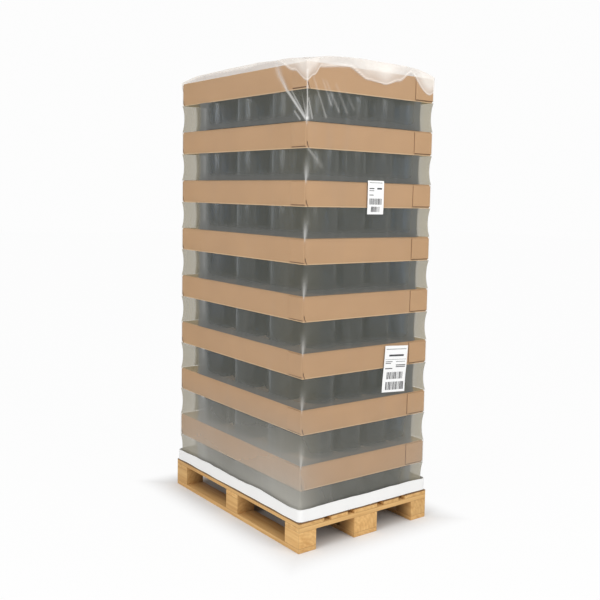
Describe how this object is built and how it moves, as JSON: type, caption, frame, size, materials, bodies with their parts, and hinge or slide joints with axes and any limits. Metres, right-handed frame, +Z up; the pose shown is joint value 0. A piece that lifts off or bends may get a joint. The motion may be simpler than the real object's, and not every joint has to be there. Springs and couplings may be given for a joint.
{
  "type": "pallet of glass jars",
  "caption": "Shrink-wrapped pallet load of large wide-mouth glass jars in layers, each capped by a brown corrugated tray, on a wooden block pallet.",
  "frame": {"origin": "on the floor, under the middle of the pallet", "axes": "+Z up; +X along the pallet's long side, towards the side with the labels; +Y across the pallet, from the front long side to the back one"},
  "size_m": [1.2, 0.8, 2.2743],
  "materials": {
    "pallet_wood": "sawn softwood",
    "white_board": "matt white board",
    "jar_glass": "clear moulded glass",
    "brown_board": "brown corrugated board",
    "clear_film": "clear shrink film, a little milky",
    "label_paper": "matt white paper"
  },
  "bodies": {
    "root": {"runner_front": "pallet_wood", "block_front_left": "pallet_wood", "block_front_centre": "pallet_wood", "block_front_right": "pallet_wood", "runner_middle": "pallet_wood", "block_middle_left": "pallet_wood", "block_middle_centre": "pallet_wood", "block_middle_right": "pallet_wood", "runner_back": "pallet_wood", "block_back_left": "pallet_wood", "block_back_centre": "pallet_wood", "block_back_right": "pallet_wood", "crossboard_left": "pallet_wood", "crossboard_centre": "pallet_wood", "crossboard_right": "pallet_wood", "deck_board_1": "pallet_wood", "deck_board_2": "pallet_wood", "deck_board_3": "pallet_wood", "deck_board_4": "pallet_wood", "deck_board_5": "pallet_wood", "base_tray": "white_board", "jar_layer_1": "jar_glass", "tray_1": "brown_board", "jar_layer_2": "jar_glass", "tray_2": "brown_board", "jar_layer_3": "jar_glass", "tray_3": "brown_board", "jar_layer_4": "jar_glass", "tray_4": "brown_board", "jar_layer_5": "jar_glass", "tray_5": "brown_board", "jar_layer_6": "jar_glass", "tray_6": "brown_board", "jar_layer_7": "jar_glass", "tray_7": "brown_board", "jar_layer_8": "jar_glass", "tray_8": "brown_board", "shrink_hood": "clear_film", "label_upper": "label_paper", "label_lower": "label_paper"}
  },
  "joints": []
}
